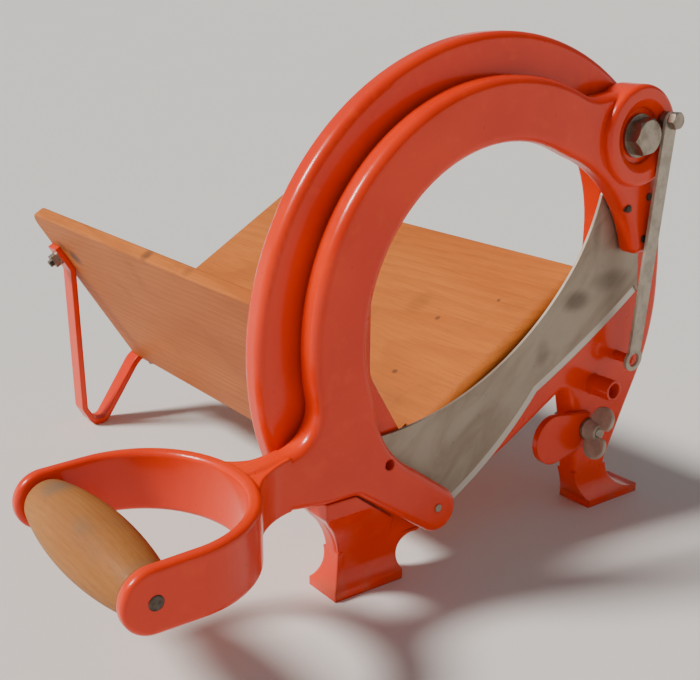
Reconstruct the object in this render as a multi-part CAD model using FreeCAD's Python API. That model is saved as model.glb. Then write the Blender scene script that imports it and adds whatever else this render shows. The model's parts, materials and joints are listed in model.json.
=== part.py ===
import FreeCAD, Part
import math
import os

# Lever-arm bread slicer, in millimetres.
#
# X runs along the cutting plane from the handle towards the pivot column, Y runs back from the
# cutting side along the trough, and Z is up. The sub-parts are drawn with the near left corner
# of the left foot at zero. The last step moves them together, so that the origin lies on the
# floor under the middle of the whole slicer.

# Layers through the cutting plane, front to back
ARM_FRONT = -12.5
ARM_BACK = 1.5
BLADE_BACK = 3.3
FRAME_FRONT = 4.0
WEB_BACK = 11.0
FRAME_BACK = 18.0
FOOT_FRONT = 0.0
FOOT_BACK = 25.0
HUB_BACK = 25.0
STUD_PAD_BACK = 19.0
GAP = 0.3

# Cast frame: a round ring with an arched window
RING_X, RING_Z, RING_R = 112.0, 140.0, 156.0
WINDOW_LEFT, WINDOW_RIGHT = 24.0, 196.6
WINDOW_SPRING_Z = 180.0
RIM_WIDTH = 9.0
RIM_ROUND_FRONT, RIM_ROUND_BACK = 4.5, 3.5
FLARED = 30.0
SHOULDER_Z = 123.5
POCKET_FLOOR, POCKET_RIGHT = 92.0, 239.0
SILL_START = 15.1
FOOT_WIDTH = 46.0
RIGHT_FOOT_X = 200.0
LEDGE_TOP = 65.0
LEDGE_FRONT = -10.0
LEDGE_LEFT, LEDGE_RIGHT = -13.0, 40.0
FLARE_TOP = 26.0
SHELF_DEPTH, SHELF_THICK = 18.0, 5.0
PIVOT_HUB_R = 22.0

# Trough: the right board slopes 31.6 degrees and the left one stands square to it
SLOPE = math.radians(31.6)
VALLEY_X, VALLEY_Z = 37.8, 69.9
RIGHT_WIDTH, RIGHT_THICK = 171.7, 15.0
LEFT_WIDTH, LEFT_THICK = 116.0, 8.8
LEFT_BELOW_VALLEY = 20.4
TROUGH_BACK = 326.0
LEFT_TOP_BACK = 333.0
BOARD_CORNER = 12.0
WORN_EDGE = 8.0
NOTCH_X = 61.0
NAIL_PLACES = (50.0, 116.0, 182.0, 248.0, 312.0)

# Pivot of the cutting arm
PIVOT_X, PIVOT_Z = 202.0, 238.0
BOSS_R = 29.0
BOSS_FRONT = -17.0
COUNTERBORE_R = 16.0
COUNTERBORE_FLOOR = -12.0
BOLT_R = 6.0
BUSH_R = 8.5
BUSH_CLEARANCE = 0.05
HEX_FLATS = 19.0
HEAD_FRONT, HEAD_BACK = -21.5, -14.0
BOLT_END = 43.0

# Cutting arm: a round bow
BOW_X, BOW_Z = 105.5, 146.3
BOW_OUTER, BOW_INNER = 128.0, 94.0
TIP_X, TIP_Z, TIP_R = 61.5, 42.0, 13.0
REST_Z = LEDGE_TOP + 0.3
HEEL_END = 167.0
ARM_ROUND_FRONT, ARM_ROUND_BACK = 5.0, 3.0
BEVEL, BEVEL_DEPTH = 5.5, 0.9

# Handle yoke and grip
GRIP_X, GRIP_Z = -135.5, 77.6
YOKE_MIDDLE = -2.5
YOKE_HALF = 61.5
YOKE_THICK = 7.0
PRONG_R = 15.2
ROOT_X = -58.5
ROOT_TOP, ROOT_BOTTOM = 95.5, 71.0
BEND_X = -113.0
GRIP_END_R, GRIP_BELLY_R = 12.0, 17.6
ROD_R = 3.0
GRIP_END_GAP = 1.6

# Locking strap, hung from a screw on the arm's boss
STRAP_X, STRAP_Z = 219.0, 246.5
STRAP_EYE_Z = 99.0
STRAP_WIDTH, STRAP_THICK = 10.0, 2.0
STRAP_BACK = -20.2
STRAP_LEAN = 4.5
EYE_R, EYE_HOLE_R = 7.2, 4.4
STRAP_SCREW_R, STRAP_SCREW_END = 2.5, -6.0
PEG_R = 3.0
PEG_FRONT = -7.6

# Stop paddle and its wing nut, on the right leg
STUD_X, STUD_Z, STUD_R = 192.0, 57.0, 3.0
PADDLE_X, PADDLE_Z, PADDLE_R = 164.0, 55.5, 15.5
PADDLE_HUB_R = 10.5
PADDLE_FRONT, PADDLE_BACK = -0.3, 3.7
STUD_FRONT = -10.8
STUD_PAD_R = 8.0
WING_R, WING_REACH, WING_THICK, WING_TURN = 8.2, 8.5, 3.0, 20.0
WING_HUB_DEPTH = 8.0
LUG_X, LUG_Z, LUG_R, LUG_FRONT = 199.6, 83.7, 6.5, -13.0
LUG_BORE_R, LUG_BORE_DEPTH = 4.7, 14.0

# Rear leg: a bent flat strip
LEG_FRONT, LEG_BACK = 316.0, 330.0
LEG_THICK = 4.0
LEG_TOP, LEG_ELBOW = 88.0, 67.6
LEG_SOLE = [(-4.6, 14.0), (2.4, 2.0), (10.8, 2.0)]
LEG_KNEE, LEG_TAIL = 11.7, -10.0
LEG_TAB_FRONT = 299.0
LEG_BOLT_PLACE, LEG_BOLT_R = 79.4, 2.5

# Screws that hold the blade: one at its tip and three at its heel
BLADE_SCREWS = [(60.1, 44.3), (199.5, 196.0), (216.8, 201.3), (214.9, 176.5)]
BLADE_SCREW_R = 2.2
SCREW_HEAD_R = 3.6
SPARE_HOLE = (25.5, 78.7)
SPARE_HOLE_R = 3.0


def at(x, z, y=0.0):
    """A point from its place in the cutting plane and its depth."""
    return FreeCAD.Vector(x, y, z)


def outline(start, *steps):
    """A flat face in the cutting plane. A step is a point, or (through, end) for an arc."""
    edges = []
    here = start
    for step in steps + (start,):
        if isinstance(step[0], tuple):
            through, end = step
            edges.append(Part.Arc(at(*here), at(*through), at(*end)).toShape())
        else:
            end = step
            if math.dist(here, end) < 1e-6:
                continue
            edges.append(Part.LineSegment(at(*here), at(*end)).toShape())
        here = end
    return Part.Face(Part.Wire(edges))


def slab(face, y_front, y_back):
    """A flat face of the cutting plane, made solid between two depths."""
    return moved(face, y=y_front).extrude(FreeCAD.Vector(0, y_back - y_front, 0))


def pin(x, z, radius, y_front, y_back):
    """A round bar along Y."""
    return Part.makeCylinder(radius, y_back - y_front, at(x, z, y_front), FreeCAD.Vector(0, 1, 0))


def cone(x, z, r_front, r_back, y_front, y_back):
    """A tapered round bar along Y."""
    axis = FreeCAD.Vector(0, 1, 0)
    return Part.makeCone(r_front, r_back, y_back - y_front, at(x, z, y_front), axis)


def ring(x, z, r_outer, r_inner, y_front, y_back):
    """A washer or tube along Y."""
    outer = pin(x, z, r_outer, y_front, y_back)
    return outer.cut(pin(x, z, r_inner, y_front - 1, y_back + 1))


def hexagon(x, z, across_flats, y_front, y_back, turn=0.0):
    """A six-sided head or nut along Y, with chamfered corners."""
    corner_r = across_flats / math.sqrt(3)
    corners = []
    for i in range(6):
        angle = math.radians(turn + 60 * i)
        corners.append((x + corner_r * math.cos(angle), z + corner_r * math.sin(angle)))
    body = slab(outline(*corners), y_front, y_back)
    height = y_back - y_front
    blunt = cone(x, z, across_flats / 2, across_flats / 2 + height, y_front, y_back)
    return body.common(blunt)


def corner_edges(solid, places):
    """The edges along Y that stand at the given places of the cutting plane."""
    found = []
    for edge in solid.Edges:
        ends = [vertex.Point for vertex in edge.Vertexes]
        if len(ends) != 2 or math.hypot(ends[0].x - ends[1].x, ends[0].z - ends[1].z) > 0.01:
            continue
        if any(math.hypot(ends[0].x - x, ends[0].z - z) < 0.3 for x, z in places):
            found.append(edge)
    return found


def round_corners(solid, *rounds):
    """Round corners of an outline. A round is its radius and the places of its corners."""
    for radius, places in rounds:
        edges = corner_edges(solid, places)
        if len(edges) != len(places):
            raise ValueError("corner not found near %s" % (places,))
        solid = solid.makeFillet(radius, edges)
    return solid


def bar(start, direction, radius, length):
    """A round bar in any direction."""
    return Part.makeCylinder(radius, length, start, direction)


def moved(shape, x=0.0, y=0.0, z=0.0):
    """A copy of a shape, moved."""
    copy = shape.copy()
    copy.translate(FreeCAD.Vector(x, y, z))
    return copy


def rim_edges(solid, y):
    """The edges of the flat face at one depth."""
    return [edge for edge in solid.Edges
            if abs(edge.BoundBox.YMin - y) < 0.01 and abs(edge.BoundBox.YMax - y) < 0.01]


def along_slope(distance, below=0.0):
    """A place on the right board's upper face, so far from the valley, and below that face."""
    x = VALLEY_X + distance * math.cos(SLOPE) + below * math.sin(SLOPE)
    z = VALLEY_Z + distance * math.sin(SLOPE) - below * math.cos(SLOPE)
    return x, z


def up_left(distance, outside=0.0):
    """A place on the left board's inner face, so far up from the valley, and outside it."""
    x = VALLEY_X - distance * math.sin(SLOPE) - outside * math.cos(SLOPE)
    z = VALLEY_Z + distance * math.cos(SLOPE) - outside * math.sin(SLOPE)
    return x, z


def on_circle(cx, cz, r, degrees):
    """A place on a circle, the angle from +X towards +Z."""
    angle = math.radians(degrees)
    return cx + r * math.cos(angle), cz + r * math.sin(angle)


def circle_at_height(cx, cz, r, z, side):
    """The place where a circle has the given height, left (-1) or right (1) of its middle."""
    return cx + side * math.sqrt(r * r - (z - cz) ** 2), z


# Cast frame

def frame_corners():
    """The corners of the frame's outline that need rounding, by name."""
    return {
        "ring_right": circle_at_height(RING_X, RING_Z, RING_R, 244.3, 1),
        "ring_left": circle_at_height(RING_X, RING_Z, RING_R, 84.0, -1),
        "belly_end": (177.0, 86.5),
        "right_waist": (217.5, 27.0),
        "left_waist": (59.0, 24.0),
    }


def frame_silhouette():
    """The frame's outer outline: left foot, belly, right foot, column and ring."""
    corners = frame_corners()
    return outline(
        (0.0, 0.0), (FOOT_WIDTH, 0.0), (FOOT_WIDTH, 6.0),
        ((44.0, 14.0), corners["left_waist"]),
        ((92.0, 40.5), (128.0, 58.6)),
        corners["belly_end"], (187.5, 40.0),
        ((190.5, 18.0), (RIGHT_FOOT_X, 4.5)), (RIGHT_FOOT_X, 0.0),
        (RIGHT_FOOT_X + FOOT_WIDTH, 0.0), (RIGHT_FOOT_X + FOOT_WIDTH, 5.5),
        ((226.0, 11.5), corners["right_waist"]),
        ((228.8, 51.0), (244.0, 82.5)),
        ((253.3, 112.0), (255.5, 145.0)),
        ((248.0, 198.0), corners["ring_right"]),
        ((RING_X, RING_Z + RING_R), corners["ring_left"]),
        ((-21.5, 66.5), (-6.0, 48.0)),
        ((4.6, 24.0), (0.0, 5.0)))


def make_window(y_front, y_back):
    """The opening that the loaf passes through, as a cutter: an arch over a sloping sill."""
    middle = (WINDOW_LEFT + WINDOW_RIGHT) / 2
    radius = (WINDOW_RIGHT - WINDOW_LEFT) / 2
    valley_side = along_slope(0.0, RIGHT_THICK)[0]
    sill_left = along_slope(SILL_START, RIGHT_THICK)
    sill_right = along_slope((WINDOW_RIGHT - valley_side) / math.cos(SLOPE), RIGHT_THICK)
    shoulder = (WINDOW_LEFT, SHOULDER_Z)
    face = outline(
        (WINDOW_LEFT, WINDOW_SPRING_Z),
        ((middle, WINDOW_SPRING_Z + radius), (WINDOW_RIGHT, WINDOW_SPRING_Z)),
        sill_right, sill_left, shoulder)
    return round_corners(slab(face, y_front, y_back),
                         (2.0, [sill_left]), (8.0, [sill_right]), (18.0, [shoulder]))


def make_web_pocket():
    """The hollow behind the ring's web, which leaves a rim round its outside and window."""
    rim = Part.makeCircle(RING_R - RIM_WIDTH, at(RING_X, RING_Z), FreeCAD.Vector(0, 1, 0))
    pocket = slab(Part.Face(Part.Wire([rim])), WEB_BACK, FRAME_BACK + 1)
    middle = (WINDOW_LEFT + WINDOW_RIGHT) / 2
    radius = (WINDOW_RIGHT - WINDOW_LEFT) / 2 + RIM_WIDTH
    keep = outline(
        (middle - radius, WINDOW_SPRING_Z),
        ((middle, WINDOW_SPRING_Z + radius), (middle + radius, WINDOW_SPRING_Z)),
        (middle + radius, POCKET_FLOOR - 5), (middle - radius, POCKET_FLOOR - 5))
    pocket = pocket.cut(slab(keep, WEB_BACK - 1, FRAME_BACK + 2))
    pocket = pocket.cut(pin(PIVOT_X, PIVOT_Z, PIVOT_HUB_R + RIM_WIDTH, WEB_BACK - 1, FRAME_BACK + 2))
    inside = Part.makeBox(POCKET_RIGHT + 60, 40, 400, FreeCAD.Vector(-60, WEB_BACK - 1, POCKET_FLOOR))
    return pocket.common(inside)


def profile_bar(points, arcs, x_start, length):
    """A bar along X. Its side view has corners (y, z), and an arc replaces some of the lines."""
    corners = [FreeCAD.Vector(x_start, y, z) for y, z in points]
    edges = []
    for i, corner in enumerate(corners):
        following = corners[(i + 1) % len(corners)]
        if i in arcs:
            through = FreeCAD.Vector(x_start, *arcs[i])
            edges.append(Part.Arc(corner, through, following).toShape())
        else:
            edges.append(Part.LineSegment(corner, following).toShape())
    return Part.Face(Part.Wire(edges)).extrude(FreeCAD.Vector(length, 0, 0))


def make_feet():
    """Both feet, spread from the plate's thickness to the full sole."""
    side = [(FOOT_FRONT, 0.0), (FOOT_BACK, 0.0), (FOOT_BACK, 5.0),
            (FRAME_BACK, FLARE_TOP), (FRAME_FRONT, FLARE_TOP), (FOOT_FRONT, 5.0)]
    arcs = {2: (FRAME_BACK + 1.6, 12.0), 4: (FRAME_FRONT - 0.9, 12.0)}
    return slab(frame_silhouette(), FOOT_FRONT, FOOT_BACK).common(profile_bar(side, arcs, -60, 360))


def make_ledge():
    """The ledge on the left leg that the lowered arm rests on, with a hollow underside."""
    back = FRAME_FRONT + 1
    top = outline((LEDGE_LEFT, FLARE_TOP), (LEDGE_RIGHT, FLARE_TOP), (LEDGE_RIGHT, 38.5),
                  (5.5, LEDGE_TOP), (LEDGE_LEFT, LEDGE_TOP))
    side = [(back, 27.0), (FRAME_FRONT, 27.0), (LEDGE_FRONT, 56.0), (LEDGE_FRONT, 70.0), (back, 70.0)]
    underside = profile_bar(side, {1: (-0.5, 44.0)}, -60, 360)
    block = slab(top, LEDGE_FRONT, back).common(underside)
    return block.common(slab(frame_silhouette(), LEDGE_FRONT, back))


def make_shelves():
    """The two cast shelves behind the frame that the boards are screwed to."""
    faces = [
        outline(along_slope(34.0, RIGHT_THICK), along_slope(150.0, RIGHT_THICK),
                along_slope(150.0, RIGHT_THICK + SHELF_THICK), along_slope(34.0, RIGHT_THICK + SHELF_THICK)),
        outline(up_left(-12.0, LEFT_THICK), up_left(34.0, LEFT_THICK),
                up_left(34.0, LEFT_THICK + SHELF_THICK), up_left(-12.0, LEFT_THICK + SHELF_THICK)),
    ]
    return [slab(face, FRAME_BACK - 4, FRAME_BACK + SHELF_DEPTH) for face in faces]


def make_frame():
    """The painted iron frame: ring, window, column, feet, bosses, ledge and shelves."""
    corners = frame_corners()
    plate = slab(frame_silhouette(), FRAME_FRONT, FRAME_BACK)
    plate = round_corners(plate, (7.0, [corners["belly_end"]]), (20.0, [corners["ring_right"]]),
                          (25.0, [corners["ring_left"]]), (12.0, [corners["right_waist"]]),
                          (10.0, [corners["left_waist"]]), (12.0, [(187.5, 40.0)]))
    for y, radius in ((FRAME_FRONT, RIM_ROUND_FRONT), (FRAME_BACK, RIM_ROUND_BACK)):
        edges = [edge for edge in rim_edges(plate, y) if edge.BoundBox.ZMax > FLARED]
        plate = plate.makeFillet(radius, edges)
    plate = plate.cut(make_window(FRAME_FRONT - 1, FRAME_BACK + 1))
    plate = plate.cut(make_web_pocket())
    added = [make_feet(), make_ledge()] + make_shelves()
    added.append(pin(PIVOT_X, PIVOT_Z, PIVOT_HUB_R, FRAME_FRONT, HUB_BACK))
    added.append(pin(STRAP_X, STRAP_EYE_Z, PEG_R, PEG_FRONT, FRAME_BACK - 2))
    added.append(pin(LUG_X, LUG_Z, LUG_R, LUG_FRONT, FRAME_BACK - 2))
    added.append(pin(STUD_X, STUD_Z, STUD_PAD_R, WEB_BACK, STUD_PAD_BACK))
    body = plate.multiFuse(added)
    body = body.cut(pin(PIVOT_X, PIVOT_Z, BOLT_R, FRAME_FRONT - 5, HUB_BACK + 5))
    body = body.cut(pin(STUD_X, STUD_Z, STUD_R, FRAME_FRONT - 5, STUD_PAD_BACK + 5))
    body = body.cut(pin(LUG_X, LUG_Z, LUG_BORE_R, LUG_FRONT - 1, LUG_FRONT + LUG_BORE_DEPTH))
    for screw in shelf_screws():
        body = body.cut(screw)
    return body.removeSplitter()


# Cutting arm

def make_bow():
    """The arm's flat bow with its tab, heel prong and pivot end, before the yoke is added."""
    top_right = (164.0, BOW_Z + math.sqrt(BOW_OUTER ** 2 - (164.0 - BOW_X) ** 2))
    outer_left = circle_at_height(BOW_X, BOW_Z, BOW_OUTER, 101.0, -1)
    inner_left = circle_at_height(BOW_X, BOW_Z, BOW_INNER, 114.0, -1)
    inner_right = (150.0, BOW_Z + math.sqrt(BOW_INNER ** 2 - (150.0 - BOW_X) ** 2))
    boss_left = on_circle(PIVOT_X, PIVOT_Z, BOSS_R, 121.0)
    boss_right = on_circle(PIVOT_X, PIVOT_Z, BOSS_R, -6.0)
    tip_low = on_circle(TIP_X, TIP_Z, TIP_R, 234.5)
    tip_high = on_circle(TIP_X, TIP_Z, TIP_R, 51.0)
    prong_left, prong_right = (209.5, HEEL_END), (227.0, HEEL_END)
    rest_left, rest_right = (-14.0, REST_Z), (6.0, REST_Z)
    face = outline(
        top_right,
        (on_circle(BOW_X, BOW_Z, BOW_OUTER, 135.0), outer_left),
        (ROOT_X - 4, ROOT_TOP - 1), (ROOT_X - 4, ROOT_BOTTOM + 0.5),
        rest_left, rest_right,
        tip_low, (on_circle(TIP_X, TIP_Z, TIP_R, -35.0), tip_high),
        (44.0, 71.0),
        ((28.3, 85.0), inner_left),
        (on_circle(BOW_X, BOW_Z, BOW_INNER, 90.0), inner_right),
        ((187.0, 206.5), prong_left),
        prong_right, boss_right,
        (on_circle(PIVOT_X, PIVOT_Z, BOSS_R, 45.0), boss_left))
    bow = slab(face, ARM_FRONT, ARM_BACK)
    bow = round_corners(bow, (20.0, [outer_left]), (24.0, [top_right]), (10.0, [boss_left]),
                        (5.0, [prong_left, prong_right]), (60.0, [inner_left]),
                        (80.0, [inner_right]), (8.0, [rest_right]), (12.0, [rest_left]))
    for y, radius in ((ARM_FRONT, ARM_ROUND_FRONT), (ARM_BACK, ARM_ROUND_BACK)):
        edges = [edge for edge in rim_edges(bow, y) if edge.BoundBox.XMax > ROOT_X - 3]
        bow = bow.makeFillet(radius, edges)
    return bow


def yoke_plan(half_width, crown_x):
    """A tall block whose plan is a U: straight prongs and half an oval."""
    oval = Part.makeCylinder(1.0, 80)
    stretch = FreeCAD.Matrix()
    stretch.scale(crown_x - BEND_X, half_width, 1.0)
    oval = moved(oval.transformGeometry(stretch), BEND_X, YOKE_MIDDLE, 40)
    right_half = Part.makeBox(200, 400, 200, FreeCAD.Vector(BEND_X, -200, 0))
    tip_x = GRIP_X - PRONG_R - 2
    straight = Part.makeBox(BEND_X - tip_x, 2 * half_width, 80,
                            FreeCAD.Vector(tip_x, YOKE_MIDDLE - half_width, 40))
    return oval.common(right_half).fuse(straight)


def make_yoke():
    """The fork that carries the grip: a flat band bent to a U, with round ends."""
    band = yoke_plan(YOKE_HALF, ROOT_X).cut(yoke_plan(YOKE_HALF - YOKE_THICK, ROOT_X - YOKE_THICK))
    top = (GRIP_X, GRIP_Z + PRONG_R)
    bottom = (GRIP_X, GRIP_Z - PRONG_R)
    side = outline(top, (ROOT_X + 5, ROOT_TOP), (ROOT_X + 5, bottom[1]), bottom,
                   ((GRIP_X - PRONG_R, GRIP_Z), top))
    band = band.common(slab(side, -90, 90))
    return band.makeFillet(2.4, band.Edges)


def make_root():
    """The hollow-sided web where the yoke grows out of the bow."""
    middle = (ARM_FRONT + ARM_BACK) / 2
    half = (ARM_BACK - ARM_FRONT) / 2
    slim, wide = -36.0, -63.0
    flare, sag = 15.0, 3.4
    points = [FreeCAD.Vector(x, y, 0) for x, y in (
        (slim, middle - half), (wide, middle - half - flare),
        (wide, middle + half + flare), (slim, middle + half))]
    near = Part.Arc(points[0], FreeCAD.Vector(-52.0, middle - half - sag, 0), points[1])
    far = Part.Arc(points[2], FreeCAD.Vector(-52.0, middle + half + sag, 0), points[3])
    edges = [near.toShape(), Part.LineSegment(points[1], points[2]).toShape(), far.toShape(),
             Part.LineSegment(points[3], points[0]).toShape()]
    web = Part.Face(Part.Wire(edges)).extrude(FreeCAD.Vector(0, 0, 150))
    side = outline((wide, 93.5), (-50.0, 94.6), (slim, 97.5), (slim, 69.5), (wide, 65.0))
    return web.common(slab(side, -60, 60))


def make_arm():
    """The painted iron arm: bow, yoke and pivot boss, with every screw hole."""
    boss = pin(PIVOT_X, PIVOT_Z, BOSS_R, BOSS_FRONT, ARM_BACK)
    boss = boss.makeFillet(3.0, rim_edges(boss, BOSS_FRONT))
    body = make_bow().multiFuse([make_root(), make_yoke(), boss])
    body = body.cut(cone(PIVOT_X, PIVOT_Z, COUNTERBORE_R + 5, COUNTERBORE_R, BOSS_FRONT, BOSS_FRONT + 3))
    body = body.cut(pin(PIVOT_X, PIVOT_Z, COUNTERBORE_R, BOSS_FRONT - 1, COUNTERBORE_FLOOR))
    body = body.cut(pin(PIVOT_X, PIVOT_Z, BUSH_R, BOSS_FRONT - 1, ARM_BACK + 1))
    body = body.cut(pin(STRAP_X, STRAP_Z, STRAP_SCREW_R, BOSS_FRONT - 4, STRAP_SCREW_END))
    for place in BLADE_SCREWS:
        body = body.cut(pin(*place, BLADE_SCREW_R, ARM_FRONT - 1, ARM_BACK + 1))
    body = body.cut(pin(*SPARE_HOLE, SPARE_HOLE_R, ARM_FRONT - 1, ARM_BACK + 1))
    body = body.cut(pin(GRIP_X, GRIP_Z, ROD_R, -100, 100))
    return body.removeSplitter()


def make_blade():
    """The sickle-shaped blade: hollow upper edge, cutting edge of two gentle arcs with a bevel."""
    def inward(place):
        return place[0] - 0.64 * BEVEL, place[1] + 0.77 * BEVEL

    tip_low, edge_low, edge_bend = (79.0, 34.0), (114.4, 57.0), (148.0, 89.5)
    edge_high, heel_right = (190.0, 112.5), (231.0, 139.0)
    face = outline(
        (30.0, 88.9), ((101.0, 104.6), (171.9, 160.8)),
        ((183.0, 179.0), (192.0, 203.0)),
        (198.0, 211.0), (222.0, 209.5), (229.0, 165.0), heel_right,
        (edge_high, edge_bend), (edge_low, tip_low),
        (66.0, 34.0), (55.0, 36.5), (17.5, 74.0), (17.0, 86.0))
    body = slab(face, ARM_BACK, BLADE_BACK)
    bevel = outline(
        heel_right, (edge_high, edge_bend), (edge_low, tip_low), inward(tip_low),
        (inward(edge_low), inward(edge_bend)), (inward(edge_high), inward(heel_right)))
    body = body.cut(slab(bevel, ARM_BACK - 1, ARM_BACK + BEVEL_DEPTH))
    for place in BLADE_SCREWS:
        body = body.cut(pin(*place, BLADE_SCREW_R, ARM_BACK - 1, BLADE_BACK + 1))
        body = body.cut(cone(*place, BLADE_SCREW_R, SCREW_HEAD_R, ARM_BACK + 0.2, BLADE_BACK))
    return body.cut(pin(*SPARE_HOLE, SPARE_HOLE_R, ARM_BACK - 1, BLADE_BACK + 1))


def blade_screw(place):
    """A countersunk screw from behind the blade, its end level with the arm's front."""
    shank = pin(*place, BLADE_SCREW_R, ARM_FRONT - 0.4, BLADE_BACK)
    return shank.fuse(cone(*place, BLADE_SCREW_R, SCREW_HEAD_R, ARM_BACK + 0.2, BLADE_BACK))


def make_tip_screw():
    """The screw in the tab at the blade's tip."""
    return blade_screw(BLADE_SCREWS[0])


def make_heel_screws():
    """The three screws that hold the blade's heel."""
    return Part.makeCompound([blade_screw(place) for place in BLADE_SCREWS[1:]])


# Pivot

def make_pivot_bush():
    """The bronze bush pressed into the arm."""
    return ring(PIVOT_X, PIVOT_Z, BUSH_R, BOLT_R + BUSH_CLEARANCE, COUNTERBORE_FLOOR, ARM_BACK)


def make_pivot_bolt():
    """The hexagon bolt that the arm turns on."""
    head = hexagon(PIVOT_X, PIVOT_Z, HEX_FLATS, HEAD_FRONT, HEAD_BACK, 12.0)
    return head.fuse(pin(PIVOT_X, PIVOT_Z, BOLT_R, HEAD_BACK, BOLT_END))


def make_head_washer():
    """The washer under the bolt's head."""
    return ring(PIVOT_X, PIVOT_Z, 12.5, BOLT_R, HEAD_BACK, COUNTERBORE_FLOOR - GAP)


def make_thrust_washer():
    """The bronze washer between the arm and the frame."""
    return ring(PIVOT_X, PIVOT_Z, 14.0, BOLT_R, ARM_BACK + GAP, FRAME_FRONT)


def make_back_washer():
    """The flat washer behind the frame's hub."""
    return ring(PIVOT_X, PIVOT_Z, 12.5, BOLT_R, HUB_BACK, HUB_BACK + 2.0)


def make_spring_washer():
    """The split spring washer under the nut."""
    body = ring(PIVOT_X, PIVOT_Z, 10.5, BOLT_R, HUB_BACK + 2.0, HUB_BACK + 4.4)
    slit = Part.makeBox(8.0, 6.0, 1.4, at(PIVOT_X + 4.0, PIVOT_Z - 0.7, HUB_BACK + 0.5))
    return body.cut(slit)


def make_pivot_nut():
    """The hexagon nut at the back of the pivot."""
    nut = hexagon(PIVOT_X, PIVOT_Z, HEX_FLATS, HUB_BACK + 4.4, HUB_BACK + 14.0, 25.0)
    return nut.cut(pin(PIVOT_X, PIVOT_Z, BOLT_R, HUB_BACK, HUB_BACK + 20))


# Locking strap

def make_lock_strap():
    """The flat steel strap with a screw hole at its top and an eye at its foot."""
    half = STRAP_WIDTH / 2
    front, back = STRAP_BACK - STRAP_THICK, STRAP_BACK
    limb = slab(outline((STRAP_X - half, STRAP_EYE_Z), (STRAP_X + half, STRAP_EYE_Z),
                        (STRAP_X + half, STRAP_Z), (STRAP_X - half, STRAP_Z)), front, back)
    body = limb.multiFuse([pin(STRAP_X, STRAP_Z, half, front, back),
                           pin(STRAP_X, STRAP_EYE_Z, EYE_R, front, back)])
    body = body.cut(pin(STRAP_X, STRAP_EYE_Z, EYE_HOLE_R, front - 1, back + 1))
    body = body.cut(pin(STRAP_X, STRAP_Z, STRAP_SCREW_R + 0.3, front - 1, back + 1))
    body = body.removeSplitter()
    body.rotate(at(STRAP_X, STRAP_Z, back), FreeCAD.Vector(1, 0, 0), STRAP_LEAN)
    return body


def make_strap_screw():
    """The small hexagon screw that the strap hangs from."""
    head = hexagon(STRAP_X, STRAP_Z, 9.0, STRAP_BACK - 7.0, STRAP_BACK - 2.5, 8.0)
    return head.fuse(pin(STRAP_X, STRAP_Z, STRAP_SCREW_R, STRAP_BACK - 2.5, STRAP_SCREW_END))


def make_strap_washer():
    """The washer that holds the strap off the boss."""
    return ring(STRAP_X, STRAP_Z, 4.8, STRAP_SCREW_R, STRAP_BACK + 0.5, BOSS_FRONT)


# Stop paddle

def make_stop_paddle():
    """The painted paddle: a round disc on a short neck that turns on the stud."""
    towards_stud = math.degrees(math.atan2(STUD_Z - PADDLE_Z, STUD_X - PADDLE_X))
    reach = math.hypot(STUD_Z - PADDLE_Z, STUD_X - PADDLE_X)
    spread = math.degrees(math.acos((PADDLE_R - PADDLE_HUB_R) / reach))
    neck = [on_circle(x, z, radius, towards_stud + turn)
            for x, z, radius, turn in ((PADDLE_X, PADDLE_Z, PADDLE_R, spread),
                                       (PADDLE_X, PADDLE_Z, PADDLE_R, -spread),
                                       (STUD_X, STUD_Z, PADDLE_HUB_R, -spread),
                                       (STUD_X, STUD_Z, PADDLE_HUB_R, spread))]
    middle = slab(outline(*neck), PADDLE_FRONT, PADDLE_BACK)
    body = middle.multiFuse([pin(PADDLE_X, PADDLE_Z, PADDLE_R, PADDLE_FRONT, PADDLE_BACK),
                             pin(STUD_X, STUD_Z, PADDLE_HUB_R, PADDLE_FRONT, PADDLE_BACK)])
    body = body.cut(pin(STUD_X, STUD_Z, STUD_R + 0.06, PADDLE_FRONT - 1, PADDLE_BACK + 1))
    return body.removeSplitter()


def make_paddle_stud():
    """The screw through the right leg that the paddle turns on."""
    head = hexagon(STUD_X, STUD_Z, 10.0, STUD_PAD_BACK, STUD_PAD_BACK + 4.0, 20.0)
    return head.fuse(pin(STUD_X, STUD_Z, STUD_R, STUD_FRONT, STUD_PAD_BACK))


def make_paddle_washer():
    """The washer between the paddle and the wing nut."""
    return ring(STUD_X, STUD_Z, 7.0, STUD_R, PADDLE_FRONT - 1.5, PADDLE_FRONT - GAP)


def make_wing_nut():
    """The wing nut that clamps the paddle: a tapered hub and two round wings along the stud."""
    back = PADDLE_FRONT - 1.5 - GAP
    front = back - WING_HUB_DEPTH
    body = cone(STUD_X, STUD_Z, 5.0, 6.6, front, back)
    for sign in (1, -1):
        wing = Part.makeCylinder(WING_R, WING_THICK,
                                 at(STUD_X - WING_THICK / 2, STUD_Z + sign * WING_REACH, front),
                                 FreeCAD.Vector(1, 0, 0))
        body = body.fuse(wing.makeFillet(1.0, [edge for edge in wing.Edges
                                               if edge.BoundBox.XLength < 0.01]))
    body.rotate(at(STUD_X, STUD_Z), FreeCAD.Vector(0, 1, 0), WING_TURN)
    body = body.cut(pin(STUD_X, STUD_Z, STUD_R + 0.05, front - WING_R - 1, back + 1))
    return body.removeSplitter()


# Grip

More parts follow.
